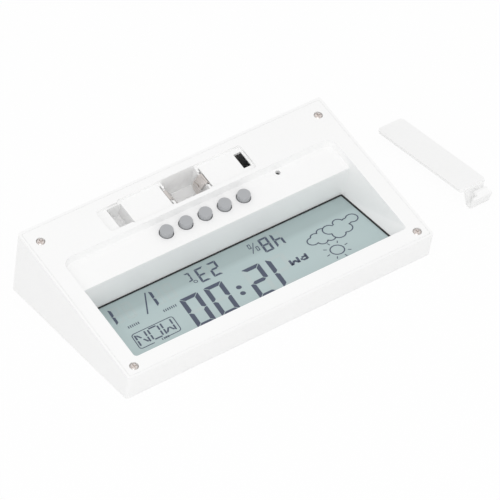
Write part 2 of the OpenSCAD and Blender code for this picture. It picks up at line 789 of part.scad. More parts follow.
module button(i) {
    top = button_rise - shelf_depth;
    crown_r = (pow(button_r - cap_chamfer, 2) + pow(cap_crown, 2)) / (2 * cap_crown);
    color([0.66, 0.67, 0.69]) at_key(button_x(i), button_v) {
        translate([0, 0, -key_flange_depth - key_flange_t]) {
            cylinder(r = key_flange_r, h = key_flange_t);
            cylinder(r = button_r, h = key_flange_depth + key_flange_t + top - cap_crown - cap_chamfer);
        }
        translate([0, 0, top - cap_crown - cap_chamfer])
            cylinder(r1 = button_r, r2 = button_r - cap_chamfer, h = cap_chamfer);
        intersection() {
            translate([0, 0, top - crown_r]) sphere(crown_r, $fn = 96);
            translate([0, 0, top - cap_crown - cap_chamfer / 2])
                cylinder(r = button_r - cap_chamfer, h = cap_crown + cap_chamfer);
        }
        translate([0, 0, -pill_depth]) cylinder(r = key_stem_r, h = key_stem_len + key_flange_t / 2);
    }
}

module contact_pill(i) {
    color([0.08, 0.08, 0.08]) at_key(button_x(i), button_v)
        translate([0, 0, -pill_depth - pill_t]) cylinder(r = pill_r, h = pill_t);
}

// Silicone mat that carries the keys: a flat web with a short skirt round each key
module key_mat() {
    half = (button_count - 1) / 2 * button_pitch + key_flange_r;
    color([0.82, 0.82, 0.8]) on_slope() difference() {
        union() {
            block([button_mid - half, button_v - mat_edge - mat_hole_r / 2, -key_board_depth],
                [button_mid + half, button_v + mat_edge + mat_hole_r / 4, -key_board_depth + mat_t]);
            for (i = [1 : button_count]) translate([button_x(i), button_v, -key_board_depth])
                cylinder(r = mat_hole_r, h = mat_t + mat_skirt_h);
        }
        for (i = [1 : button_count]) translate([button_x(i), button_v, -key_board_depth - over])
            cylinder(r = mat_hole_r - mat_wall, h = mat_t + mat_skirt_h + 2 * over);
    }
}

module key_board() {
    color([0.13, 0.42, 0.24]) on_slope() difference() {
        block([key_board_x0, key_board_v0, -key_board_depth - board_t],
            [key_board_x1, key_board_v1, -key_board_depth]);
        for (p = key_posts) translate([p.x, p.y, -key_board_depth - board_t - over])
            cylinder(r = small_screw_r + play, h = board_t + 2 * over);
    }
}

module key_board_screws() {
    color([0.75, 0.74, 0.7]) on_slope() for (p = key_posts)
        translate([p.x, p.y, -key_board_depth - board_t]) rotate([180, 0, 0])
            screw(small_head_r, small_head_h, small_screw_r, small_screw_len - fit);
}

module reset_switch() {
    color([0.75, 0.75, 0.76]) at_key(reset_x, reset_v) translate([0, 0, -key_board_depth]) difference() {
        translate([-reset_body / 2, -reset_body / 2, 0]) cube([reset_body, reset_body, reset_body_h]);
        translate([0, 0, reset_body_h / 2 - reset_travel])
            cylinder(r = reset_plunger_r + fit, h = reset_body_h);
    }
}

module reset_plunger() {
    color([0.1, 0.1, 0.1]) at_key(reset_x, reset_v)
        translate([0, 0, -key_board_depth + reset_body_h / 2 + fit])
            cylinder(r = reset_plunger_r, h = reset_body_h / 2 + reset_plunger_rise - fit);
}

// Bent strips: a line of points made into a strip of thickness t
function unit(v) = v / norm(v);
function side_of(a, b) = let (d = unit(b - a)) [-d.y, d.x];
function edge_points(p, t) = [for (i = [0 : len(p) - 1]) let (
    before = side_of(p[max(i - 1, 0)], p[max(i, 1)]),
    after = side_of(p[min(i, len(p) - 2)], p[min(i + 1, len(p) - 1)]))
    p[i] + (before + after) * t / (1 + before * after)];
function backwards(p) = [for (i = [len(p) - 1 : -1 : 0]) p[i]];
function bend(centre, r, a0, a1, steps) = [for (i = [0 : steps]) let (a = a0 + (a1 - a0) * i / steps)
    centre + r * [cos(a), sin(a)]];

module strip(p, t) {
    polygon(concat(edge_points(p, t / 2), backwards(edge_points(p, -t / 2))));
}

// Stands a drawing of X and height upright across the bay, centred on its contacts
module across_bay(w) {
    on_slope() translate([bay_x, contact_v + w / 2, 0]) rotate([90, 0, 0]) linear_extrude(w) children();
}

module contact_plate(side) {
    x = bay_x + side * contact_x;
    on_slope() {
        block([x - strip_t / 2, contact_v - contact_w / 2, -bay_depth + fit],
            [x + strip_t / 2, contact_v + contact_w / 2, -contact_top - fold_r]);
        block([x - strip_t / 2, contact_v - tail_w / 2, -bay_depth - bay_wall - tail_len],
            [x + strip_t / 2, contact_v + tail_w / 2, -bay_depth + 2 * fit]);
    }
}

// Middle line of a contact's top fold, from inside its plate, with X measured away from the plate
function top_fold() = let (top = -contact_top - strip_t / 2) concat([[0, top - 3 * fold_r]],
    bend([fold_r, top - fold_r], fold_r, 180, 90, bend_steps));

module negative_contact() {
    top = -contact_top - strip_t / 2;
    hoop = [fold_r + hoop_flat, top - hoop_r];
    color([0.74, 0.7, 0.66]) {
        contact_plate(-1);
        across_bay(leaf_w) translate([-contact_x, 0]) strip(concat(top_fold(),
            bend(hoop, hoop_r, 90, hoop_end_angle, bend_steps),
            [[hoop_waist, top - hoop_waist_len], [hoop_foot, top - hoop_foot_len]]), strip_t);
    }
}

module spring_contact() {
    top = -contact_top - strip_t / 2;
    edge_x = crease_at + 2 * crease_t;
    fold = [leaf_reach - fold_r, top - leaf_drop + fold_r];
    nose_r = leaf_w / 2;
    color([0.74, 0.7, 0.66]) {
        contact_plate(1);
        across_bay(leaf_w) translate([contact_x, 0]) mirror([1, 0]) strip(concat(top_fold(), [
            [crease_at - crease_t, top], [crease_at, top - crease_t], [crease_at + crease_t, top],
            [edge_x, top], fold, [leaf_reach, top - leaf_drop], [leaf_reach, top - leaf_drop - 2 * fold_r]]),
            strip_t);
        on_slope()
            translate([bay_x + contact_x - leaf_reach - strip_t / 2, contact_v, top - leaf_drop - fold_r / 2])
            rotate([0, 90, 0]) linear_extrude(strip_t) {
                translate([0, -nose_r]) square([nose_len - nose_r, leaf_w]);
                translate([nose_len - nose_r, 0]) circle(nose_r);
            }
    }
}

// Wire from a contact's tail down to the main board, as a tube along a smooth curve
function curve(a, b, c, d, s) = pow(1 - s, 3) * a + 3 * pow(1 - s, 2) * s * b
    + 3 * (1 - s) * pow(s, 2) * c + pow(s, 3) * d;

module tube(p, r, sides) {
    last = len(p) - 1;
    rings = [for (i = [0 : last]) let (
        t = unit(p[min(i + 1, last)] - p[max(i - 1, 0)]),
        n1 = unit(cross(t, [1, 0, 0])),
        n2 = cross(t, n1)) for (k = [0 : sides - 1]) let (a = 360 * k / sides)
        p[i] + r * (cos(a) * n1 + sin(a) * n2)];
    walls = [for (i = [0 : last - 1]) for (k = [0 : sides - 1]) let (
        a = i * sides + k, b = i * sides + (k + 1) % sides)
        each [[a, a + sides, b + sides], [a, b + sides, b]]];
    caps = [for (k = [1 : sides - 2]) each [[0, k, k + 1],
        [last * sides, last * sides + k + 1, last * sides + k]]];
    polyhedron(points = rings, faces = concat(walls, caps));
}

module battery_wire(side) {
    tail_depth = bay_depth + bay_wall + tail_len / 2;
    start_x = bay_x + side * (contact_x - strip_t / 2 - wire_r - fit);
    start_y = slope_y0 + contact_v * slope_cos + tail_depth * slope_sin;
    start_z = slope_z0 + contact_v * slope_sin - tail_depth * slope_cos;
    end_x = bay_x + side * (slot_out + wire_spread);
    drop = start_z - board_top;
    start = [start_x, start_y, start_z];
    end = [end_x, parts_y, board_top + fit];
    points = [for (i = [0 : wire_rings]) curve(start, start - [0, 0, drop * 0.6],
        end + [0, 0, drop * 0.6], end, i / wire_rings)];
    tube(points, wire_r, wire_sides);
}

module red_wire() {
    color([0.75, 0.08, 0.07]) battery_wire(1);
}

module black_wire() {
    color([0.05, 0.05, 0.05]) battery_wire(-1);
}

// Flat ribbon from the key board's underside to the main board
module link_ribbon() {
    ribbon_w = 9;
    ribbon_t = 0.5;
    steps = 16;
    top_depth = key_board_depth + board_t;
    start = [slope_y0 + button_v * slope_cos + top_depth * slope_sin,
        slope_z0 + button_v * slope_sin - top_depth * slope_cos - ribbon_t / 2];
    end = [parts_y, board_top + fit];
    drop = start.y - end.y;
    path = [for (i = [0 : steps]) curve(start, start - [0, drop * 0.5],
        end + [0, drop * 0.5], end, i / steps)];
    color([0.7, 0.71, 0.72]) translate([-ribbon_w / 2, 0, 0]) rotate([90, 0, 90])
        linear_extrude(ribbon_w) strip(path, ribbon_t);
}

// Cover in its own frame, face up at z = 0
module cover_latch() {
    catch = leg_end + (leg_t / 2 - fit) * leg_side;
    root = (2 * leg_start + leg_end) / 3;
    rotate([90, 0, 0]) {
        translate([-cover_l / 2, 0, -latch_w / 2]) mirror([1, 0]) linear_extrude(latch_w)
            strip(concat([[leg_root, -cover_t / 2]],
                bend([bend_out, -bend_depth], bend_r - leg_t / 2, 180, 360 - latch_lean, latch_bend_steps),
                [leg_end]), leg_t);
        translate([-cover_l / 2, 0, -tab_w / 2 + tab_shift]) mirror([1, 0]) linear_extrude(tab_w)
            polygon([[tab_in, -tab_top], [tab_out - tab_bevel, -tab_top], [tab_out, -tab_top - tab_bevel],
                catch, root, [tab_in, -catch_depth - leg_t]]);
    }
}

module cover_tongue() {
    end_x = cover_l / 2;
    rotate([90, 0, 0]) translate([0, 0, -tongue_w / 2]) linear_extrude(tongue_w) {
        translate([end_x - 2 * tongue_t, -hook_depth - hook_r])
            square([tongue_t, hook_depth + hook_r - cover_t / 2]);
        translate([end_x - 2 * tongue_t, -hook_depth - hook_r])
            square([hook_out + 2 * tongue_t - hook_r, 2 * hook_r]);
        translate([end_x + hook_out - hook_r, -hook_depth]) circle(hook_r);
    }
}

module battery_cover() {
    color([0.95, 0.95, 0.95]) translate([cover_x, cover_y, cover_lift])
        rotate([-cover_tilt, 0, 0]) rotate(90) {
            translate([0, 0, -cover_t]) linear_extrude(cover_t)
                round_rect([-cover_l / 2, -cover_w / 2], [cover_l / 2, cover_w / 2], cover_r);
            cover_latch();
            cover_tongue();
        }
}

case_shell();
top_plate();
corner_screws();
display_gasket();
front_polariser();
front_glass();
rear_glass();
rear_reflector();
display_holder();
zebra_strips();
main_board();
board_screws();
chip_blob();
clock_crystal();
filter_capacitor();
chip_resistors();
buzzer();
temperature_sensor();
humidity_sensor();
key_board();
key_board_screws();
key_mat();
link_ribbon();
negative_contact();
spring_contact();
red_wire();
black_wire();
reset_switch();
reset_plunger();
for (i = [1 : button_count]) {
    button(i);
    contact_pill(i);
}
battery_cover();
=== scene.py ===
import json
import math

import bpy
from mathutils import Matrix, Vector

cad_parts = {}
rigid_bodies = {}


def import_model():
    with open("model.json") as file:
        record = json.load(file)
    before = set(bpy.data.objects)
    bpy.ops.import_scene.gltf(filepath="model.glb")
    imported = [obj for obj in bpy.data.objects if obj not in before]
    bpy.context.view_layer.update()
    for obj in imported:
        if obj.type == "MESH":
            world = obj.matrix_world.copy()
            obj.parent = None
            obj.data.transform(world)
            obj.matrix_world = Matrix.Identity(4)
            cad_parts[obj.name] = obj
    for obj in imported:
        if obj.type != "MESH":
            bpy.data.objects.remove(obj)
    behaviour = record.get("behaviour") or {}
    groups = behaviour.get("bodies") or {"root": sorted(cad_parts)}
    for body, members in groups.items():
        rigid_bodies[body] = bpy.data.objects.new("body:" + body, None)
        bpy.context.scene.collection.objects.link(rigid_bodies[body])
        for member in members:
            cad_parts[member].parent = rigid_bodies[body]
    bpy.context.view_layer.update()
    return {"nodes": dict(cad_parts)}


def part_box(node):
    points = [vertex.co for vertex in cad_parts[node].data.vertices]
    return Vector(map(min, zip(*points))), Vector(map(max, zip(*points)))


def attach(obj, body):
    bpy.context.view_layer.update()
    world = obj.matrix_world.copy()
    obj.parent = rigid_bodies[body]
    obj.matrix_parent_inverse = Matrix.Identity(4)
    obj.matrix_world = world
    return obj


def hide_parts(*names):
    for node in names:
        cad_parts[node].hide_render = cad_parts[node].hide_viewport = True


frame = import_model()
bpy.ops.object.select_all(action="DESELECT")

# The case is an open tray of white ABS, injection moulded in one shot, with a fine satin texture.
# Its four walls stand square to the sloped face, and its rim frames the top plate.
MM = 0.001


class Value:
    """A socket's value, so that shader maths can be written as a Python expression."""

    def __init__(self, finish, socket):
        self.finish = finish
        self.socket = socket

    def maths(self, operation, first, second):
        return self.finish.node("ShaderNodeMath", [first, second], operation=operation)

    def __add__(self, other):
        return self.maths("ADD", self, other)

    def __radd__(self, other):
        return self.maths("ADD", other, self)

    def __mul__(self, other):
        return self.maths("MULTIPLY", self, other)

    def __rmul__(self, other):
        return self.maths("MULTIPLY", other, self)


class Finish:
    """A material on a Principled shader, whose nodes are added one call at a time."""

    def __init__(self, name, **constants):
        self.material = bpy.data.materials.new(name)
        self.material.use_nodes = True
        self.tree = self.material.node_tree
        self.shader = self.tree.nodes["Principled BSDF"]
        self.place = self.node("ShaderNodeTexCoord", output="Object")
        for socket, constant in constants.items():
            self.set(socket.replace("_", " ").title().replace("Ior", "IOR"), constant)

    def node(self, kind, sockets=(), output=0, **settings):
        made = self.tree.nodes.new(kind)
        for name, setting in settings.items():
            setattr(made, name, setting)
        pairs = sockets.items() if isinstance(sockets, dict) else enumerate(sockets)
        for name, value in pairs:
            self.feed(made.inputs[name], value)
        return Value(self, made.outputs[output])

    def feed(self, socket, value):
        if isinstance(value, Value):
            self.tree.links.new(value.socket, socket)
        elif isinstance(value, tuple) and len(value) < len(socket.default_value):
            socket.default_value = (*value, 1)
        else:
            socket.default_value = value

    def set(self, socket, value):
        self.feed(self.shader.inputs[socket], value)

    def noise(self, size, detail=2.0, stretch=(1, 1, 1)):
        """Soft noise whose features are about size across, longer along an axis with a small stretch."""
        turned = self.node("ShaderNodeMapping", {"Vector": self.place, "Scale": stretch})
        return self.node("ShaderNodeTexNoise", {"Vector": turned, "Scale": 1 / size, "Detail": detail})

    def mix(self, share, low, high):
        """A colour between low and high, by a share from 0 to 1."""
        return self.node("ShaderNodeMix", {0: share, 6: low, 7: high}, output=2, data_type="RGBA")

    def bump(self, height, depth, edge=0):
        """Raises the surface by a height from 0 to 1, and rounds its sharp edges by a small radius."""
        sockets = {"Height": height, "Distance": depth}
        if edge:
            sockets["Normal"] = self.node("ShaderNodeBevel", {"Radius": edge}, samples=6)
        self.set("Normal", self.node("ShaderNodeBump", sockets))


def moulded_plastic(name, colour, gloss_low, gloss_high, edge=0):
    """Moulded ABS: a nearly even colour, clouded a little by flow, with a fine spark-eroded texture."""
    grain, depth = 0.35 * MM, 0.012 * MM
    finish = Finish(name, ior=1.53)
    flow = finish.noise(22 * MM, detail=3.0)
    texture = finish.noise(grain, detail=3.0)
    shade = tuple(channel * 0.975 for channel in colour)
    finish.set("Base Color", finish.mix(flow, shade, colour))
    patches = finish.noise(4 * MM, detail=4.0)
    finish.set("Roughness", gloss_low + (gloss_high - gloss_low) * patches)
    finish.bump(texture + 0.4 * finish.noise(1.6 * MM), depth, edge)
    return finish.material


def dress(piece, material):
    piece.data.materials.clear()
    piece.data.materials.append(material)


def activate(piece):
    bpy.ops.object.select_all(action="DESELECT")
    piece.select_set(True)
    bpy.context.view_layer.objects.active = piece


def even_out(piece, chosen):
    """Cuts the chosen faces up and draws them into one smooth surface between their outer edges."""
    cuts, passes = 11, 200
    bpy.ops.mesh.select_mode(type="FACE")
    bpy.ops.mesh.select_all(action="DESELECT")
    bpy.ops.object.mode_set(mode="OBJECT")
    for face in piece.data.polygons:
        face.select = chosen(face)
    bpy.ops.object.mode_set(mode="EDIT")
    bpy.ops.mesh.subdivide(number_cuts=cuts)
    bpy.ops.mesh.select_less()
    bpy.ops.mesh.vertices_smooth(factor=0.5, repeat=passes)


def soften(node, name, radius, material, body="case", merged=0.01 * MM, evened=None):
    """Copies a moulding, closes its loose triangles into one skin, rounds its edges and shows the copy."""
    crease = math.radians(35)
    source = frame["nodes"][node]
    piece = bpy.data.objects.new(name, source.data.copy())
    bpy.context.scene.collection.objects.link(piece)
    activate(piece)
    bpy.ops.object.mode_set(mode="EDIT")
    bpy.ops.mesh.select_all(action="SELECT")
    bpy.ops.mesh.customdata_custom_splitnormals_clear()
    bpy.ops.mesh.remove_doubles(threshold=merged)
    bpy.ops.mesh.dissolve_degenerate(threshold=merged)
    if evened:
        even_out(piece, evened)
    bpy.ops.object.mode_set(mode="OBJECT")
    if radius:
        rounding = piece.modifiers.new("rounding", "BEVEL")
        rounding.width = radius
        rounding.segments = 3
        rounding.limit_method = "ANGLE"
        rounding.angle_limit = crease
        rounding.use_clamp_overlap = False
        bpy.ops.object.modifier_apply(modifier="rounding")
    bpy.ops.object.shade_smooth_by_angle(angle=crease)
    evenness = piece.modifiers.new("evenness", "WEIGHTED_NORMAL")
    evenness.keep_sharp = True
    evenness.weight = 100
    bpy.ops.object.modifier_apply(modifier="evenness")
    dress(piece, material)
    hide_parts(node)
    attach(piece, body)


case_white = (0.97, 0.97, 0.968)
case_plastic = moulded_plastic("case_plastic", case_white, 0.45, 0.58, edge=0.04 * MM)
dress(frame["nodes"]["case_shell"], case_plastic)

# The main board is green glass fibre with a drop-on chip, a crystal, a buzzer and two sensors.
# It hangs under the top plate on eight small screws, and hardly any of it shows when the clock is whole.


def solder_mask(name, colour):
    """Green lacquer over copper tracks, which show as slightly paler lines."""
    finish = Finish(name, roughness=0.35, coat_weight=0.3)
    tracks = finish.node(
        "ShaderNodeTexBrick",
        {"Vector": finish.place, "Scale": 1 / (8 * MM), "Mortar Size": 0.03, "Color1": (0, 0, 0),
         "Color2": (0, 0, 0), "Mortar": (1, 1, 1)})
    finish.set("Base Color", finish.mix(tracks, colour, tuple(1.6 * c for c in colour)))
    finish.bump(tracks, 0.03 * MM)
    return finish.material


def bare_metal(name, colour, rough_low, rough_high, streak=(1, 1, 1), scale=0.5 * MM, polish_and_reflection_dark=0.82):
    """Plated metal with fine rolling marks and slightly uneven polish; at a large, streaked scale with a
    deep dark share, the same pattern paints reflection bands into the colour.
    """
    finish = Finish(name, metallic=1.0)
    polish_and_reflection_marks = finish.noise(scale, detail=4.0, stretch=streak)
    shade = tuple(channel * polish_and_reflection_dark for channel in colour)
    finish.set("Base Color", finish.mix(polish_and_reflection_marks, shade, colour))
    finish.set("Roughness", rough_low + (rough_high - rough_low) * polish_and_reflection_marks)
    finish.bump(polish_and_reflection_marks, 0.004 * MM)
    return finish.material


board_green = solder_mask("board_green", (0.02, 0.13, 0.05))
small_steel = bare_metal("small_steel", (0.62, 0.6, 0.57), 0.25, 0.45)
black_resin = moulded_plastic("black_resin", (0.012, 0.012, 0.013), 0.2, 0.35)
pale_moulding = moulded_plastic("pale_moulding", (0.66, 0.66, 0.64), 0.5, 0.6)
dark_rubber = moulded_plastic("dark_rubber", (0.02, 0.02, 0.022), 0.65, 0.8)
silicone = moulded_plastic("silicone", (0.55, 0.55, 0.53), 0.5, 0.65)
blue_sleeve = moulded_plastic("blue_sleeve", (0.02, 0.03, 0.12), 0.25, 0.35)
red_sleeve = moulded_plastic("red_sleeve", (0.45, 0.012, 0.01), 0.35, 0.5)
black_sleeve = moulded_plastic("black_sleeve", (0.012, 0.012, 0.012), 0.35, 0.5)
ribbon_grey = moulded_plastic("ribbon_grey", (0.4, 0.41, 0.42), 0.45, 0.55)
inner_finishes = {
    "main_board": board_green, "board_screws": small_steel, "chip_blob": black_resin,
    "clock_crystal": small_steel, "filter_capacitor": blue_sleeve, "chip_resistors": black_resin,
    "buzzer": black_resin, "temperature_sensor": black_resin, "humidity_sensor": pale_moulding,
    "display_holder": pale_moulding, "zebra_strips": dark_rubber, "key_board": board_green,
    "key_board_screws": small_steel, "key_mat": silicone, "link_ribbon": ribbon_grey,
    "red_wire": red_sleeve, "black_wire": black_sleeve, "reset_switch": small_steel,
    "reset_plunger": black_resin}
for node, material in inner_finishes.items():
    dress(frame["nodes"][node], material)
for key in range(1, 6):
    dress(frame["nodes"][f"contact_pill_{key}"], dark_rubber)

# The display is a liquid-crystal cell: two sheets of glass between a front film and a silvered rear film.
# A black foam gasket seals it to the foot of the well.
film_grey = (0.48, 0.585, 0.588)
# A painted shadow of the well's wall on the film: it starts this far from the middle, fades in over this
# width, and darkens the colour to this share.
painted_shadow_edge, painted_shadow_width, painted_shadow_depth = 5.5 * MM, 3.2 * MM, 0.86


def display_film(name, colour):
    """Grey-green film, clouded a little, with a painted shadow of the well's wall that darkens its last
    millimetres before that wall.
    """
    film = Finish(name, ior=1.49)
    height = film.node("ShaderNodeSeparateXYZ", [film.place], output=1)
    painted_shadow_share = film.node("ShaderNodeMath", [height + (painted_shadow_edge + painted_shadow_width), 1 / painted_shadow_width],
                       operation="MULTIPLY", use_clamp=True)
    clear = film.mix(film.noise(18 * MM), tuple(0.98 * c for c in colour), colour)
    dim = tuple(painted_shadow_depth * c for c in colour)
    film.set("Base Color", film.mix(painted_shadow_share, clear, dim))
    film.set("Roughness", 0.14 + 0.06 * film.noise(3 * MM))
    film.bump(film.noise(0.6 * MM), 0.001 * MM)
    return film.material


dress(frame["nodes"]["front_polariser"], display_film("display_film", film_grey))

glass_finish = Finish("display_glass", roughness=0.02, ior=1.52)
clouding = glass_finish.noise(9 * MM)
glass_finish.set("Base Color", glass_finish.mix(clouding, (0.6, 0.68, 0.66), (0.66, 0.74, 0.72)))
dress(frame["nodes"]["front_glass"], glass_finish.material)
dress(frame["nodes"]["rear_glass"], glass_finish.material)
dress(frame["nodes"]["rear_reflector"], bare_metal("reflector_film", (0.66, 0.7, 0.7), 0.3, 0.4))
dress(frame["nodes"]["display_gasket"], dark_rubber)

# The readout stands on the film. It is upright when the clock stands on its thick end, so it is placed
# turned by half a turn, with x to its own right and y to its own top, from the middle of the flat face.
ink_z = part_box("front_polariser")[1].z + 0.01 * MM
ink_height = 0.02 * MM
slant = 0.165
turned = Matrix.Rotation(math.pi, 4, "Z")


def outline(points):
    """A flat face with its corners at the points, in millimetres: a disc whose corners are moved there."""
    bpy.ops.mesh.primitive_circle_add(vertices=len(points), radius=MM, fill_type="NGON")
    made = bpy.context.object
    for corner, (x, y) in zip(made.data.vertices, points):
        corner.co = (x * MM, y * MM, 0)
    return made


def pointed(x0, y0, x1, y1, width, blunt=0.5):
    """A straight bar from one point to another, with blunt points at its ends."""
    along = Vector((x1 - x0, y1 - y0)).normalized()
    across = Vector((-along.y, along.x)) * width / 2
    tip = along * width / 2 * blunt
    start, end = Vector((x0, y0)), Vector((x1, y1))
    return outline([start, start + tip + across, end - tip + across, end, end - tip - across,
                    start + tip - across])


def segments(width, height, line):
    """The seven segments of a digit as outlines, from its lower right corner, parted at their mitres."""
    gap, cut = line * 0.1, line * 0.3
    slope = (cut - gap) / 2
    middle = height / 2
    top = [(-width + cut, height), (-cut, height), (-cut + slope, height - slope),
           (-line - gap, height - line), (-width + line + gap, height - line),
           (-width + cut - slope, height - slope)]
    upper = [(0, height - cut), (-slope, height - cut + slope), (-line, height - line - gap),
             (-line, middle + line / 2 + gap), (-line / 2, middle + gap), (0, middle + gap)]
    bridge = [(-width + line / 2 + gap, middle), (-width + line + gap, middle + line / 2),
              (-line - gap, middle + line / 2), (-line / 2 - gap, middle),
              (-line - gap, middle - line / 2), (-width + line + gap, middle - line / 2)]

    def overturned(points):
        return [(x, height - y) for x, y in points]

    def mirrored(points):
        return [(-width - x, y) for x, y in points]

    return {"a": top, "b": upper, "c": overturned(upper), "d": overturned(top),
            "e": mirrored(overturned(upper)), "f": mirrored(upper), "g": bridge}


def ring(x, y, radius, line, keep=lambda point: True):
    """A thin ring, of which only the stretches whose middle passes the keep test are left."""
    bpy.ops.mesh.primitive_circle_add(vertices=72, radius=(radius + line / 2) * MM, fill_type="NGON",
                                      location=(x * MM, y * MM, 0))
    made = bpy.context.object
    bpy.ops.object.mode_set(mode="EDIT")
    bpy.ops.mesh.select_all(action="SELECT")
    bpy.ops.mesh.inset(thickness=line * MM)
    bpy.ops.mesh.delete(type="FACE")
    bpy.ops.object.mode_set(mode="OBJECT")
    for face in made.data.polygons:
        face.select = not keep((face.center.x / MM + x, face.center.y / MM + y))
    bpy.ops.object.mode_set(mode="EDIT")
    bpy.ops.mesh.delete(type="FACE")
    bpy.ops.object.mode_set(mode="OBJECT")
    return made


LIT = {"0": "abcdef", "1": "bc", "2": "abdeg", "3": "abcdg", "4": "bcfg", "8": "abcdefg"}


def digit(shown, right, bottom, width, height, line):
    """The named segments of one digit, leaning to its right, from its lower right corner."""
    shapes = segments(width, height, line)
    return [outline([(right + x + slant * y, bottom + y) for x, y in shapes[name]]) for name in shown]


def printed(name, parts, material, lift=0.0):
    """Joins flat parts into one piece, gives it a film's thickness and lays it on the display."""
    activate(parts[0])
    for part in parts:
        part.select_set(True)
    if len(parts) > 1:
        bpy.ops.object.join()
    piece = bpy.context.object
    piece.name = piece.data.name = name
    bpy.ops.object.transform_apply(location=True, rotation=True, scale=True)
    bpy.ops.object.mode_set(mode="EDIT")
    bpy.ops.mesh.select_all(action="SELECT")
    bpy.ops.mesh.remove_doubles(threshold=0.001 * MM)
    bpy.ops.mesh.extrude_region_move(TRANSFORM_OT_translate={"value": (0, 0, ink_height)})
    bpy.ops.mesh.select_all(action="SELECT")
    bpy.ops.mesh.normals_make_consistent(inside=False)
    bpy.ops.object.mode_set(mode="OBJECT")
    piece.data.transform(Matrix.Translation((0, 0, ink_z + lift)) @ turned)
    dress(piece, material)
    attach(piece, "case")


def display_ink(name, dark, pale):
    """The colour of a segment, a little uneven where the crystal is thinner."""
    finish = Finish(name, roughness=0.3, specular_ior_level=0.3)
    finish.set("Base Color", finish.mix(finish.noise(0.7 * MM), dark, pale))
    return finish.material


ink = display_ink("display_ink", (0.075, 0.09, 0.135), (0.09, 0.105, 0.155))
# The idle segments use the film's finish, so they carry the same painted shadow near the well's wall.
idle = display_film("idle_segments", (0.495, 0.58, 0.58))

time_right, time_bottom, time_width, time_height, time_line = 29.0, 12.8, 8.9, 19.6, 2.1
time_pitch = 11.8
time_parts = []
idle_parts = []
for place, shown in ((0, "0"), (1, "0"), (2.58, "2"), (3.58, "1")):
    for lit, parts in ((True, time_parts), (False, idle_parts)):
        names = [name for name in "abcdefg" if (name in LIT[shown]) == lit]
        if shown == "1" and not lit:
            names = ["a", "d", "e", "g"]
        right = time_right - place * time_pitch
        parts += digit(names, right, time_bottom, time_width, time_height, time_line)
for x, y in ((4.85, 20.9), (5.6, 25.0)):
    bpy.ops.mesh.primitive_circle_add(vertices=32, radius=1.2 * MM, fill_type="NGON",
                                      location=(x * MM, y * MM, 0))
    time_parts.append(bpy.context.object)
printed("time_digits", time_parts, ink)

small_width, small_height, small_line = 4.4, 9.1, 1.05
humidity_parts = []
for right, shown in ((-24.0, "4"), (-18.1, "8")):
    humidity_parts += digit(LIT[shown], right, 0.3, small_width, small_height, small_line)
humidity_parts.append(pointed(-15.9, 0.6, -12.0, 6.7, 0.4))
for right, bottom in ((-15.0, 3.4), (-12.7, 0.4)):
    humidity_parts += digit(LIT["0"], right, bottom, 1.4, 3.0, 0.42)
printed("humidity_digits", humidity_parts, ink)

temperature_parts = []
for right, shown in ((7.6, "2"), (13.6, "3")):
    temperature_parts += digit(LIT[shown], right, 0.3, small_width, small_height, small_line)
temperature_parts += digit("adef", 18.6, 0.3, 2.4, 5.6, 0.75)
temperature_parts.append(ring(16.8, 7.0, 0.75, 0.35))
printed("temperature_digits", temperature_parts, ink)

date_width, date_height, date_line = 4.5, 10.4, 1.25
date_parts = []
for right in (36.1, 55.9):
    date_parts += digit("bc", right, 0.4, date_width, date_height, date_line)
    idle_parts += digit("adefg", right, 0.4, date_width, date_height, date_line)
    idle_parts += digit("abcdefg", right - 5.9, 0.4, date_width, date_height, date_line)
date_parts.append(pointed(37.4, 0.3, 43.8, 12.4, 0.6))
printed("date_digits", date_parts, ink)

for right, shown in ((-24.0, "4"), (-18.1, "8"), (7.6, "2"), (13.6, "3")):
    rest = [name for name in "abcdefg" if name not in LIT[shown]]
    idle_parts += digit(rest, right, 0.3, small_width, small_height, small_line)
printed("idle_segments", idle_parts, idle, lift=-0.008 * MM)

# A small frame with three letters stands above the date. Plain ticks stand where legends would be.
frame_left, frame_right, frame_bottom, frame_top, frame_line = 36.7, 56.5, 19.4, 29.0, 0.42
corner_round = 1.3
corner_steps = 4


def leaned(x, y):
    return x + slant * (y - frame_bottom), y


def stroke(x0, y0, x1, y1, width, blunt=0.5):
    return pointed(*leaned(x0, y0), *leaned(x1, y1), width, blunt)


frame_break = (frame_left + 8.2, frame_left + 13.0)
weekday_parts = [
    stroke(frame_left + corner_round, frame_bottom, frame_right - corner_round, frame_bottom,
           frame_line, 0),
    stroke(frame_left + corner_round, frame_top, frame_break[0], frame_top, frame_line, 0),
    stroke(frame_break[1], frame_top, frame_right - corner_round, frame_top, frame_line, 0),
    stroke(frame_left, frame_bottom + corner_round, frame_left, frame_top - corner_round, frame_line, 0),
    stroke(frame_right, frame_bottom + corner_round, frame_right, frame_top - corner_round, frame_line, 0)]
for x, side in ((frame_left + corner_round, -1), (frame_right - corner_round, 1)):
    for y, rise in ((frame_bottom + corner_round, -1), (frame_top - corner_round, 1)):
        around = [math.pi / 2 * step / corner_steps for step in range(corner_steps + 1)]
        points = [(x + side * corner_round * math.cos(turn), y + rise * corner_round * math.sin(turn))
                  for turn in around]
        for start, end in zip(points, points[1:]):
            weekday_parts.append(stroke(*start, *end, frame_line, -0.2))
letter_bottom, letter_top, letter_width, letter_line = 20.4, 27.4, 4.6, 0.75
letter_pitch = 6.2
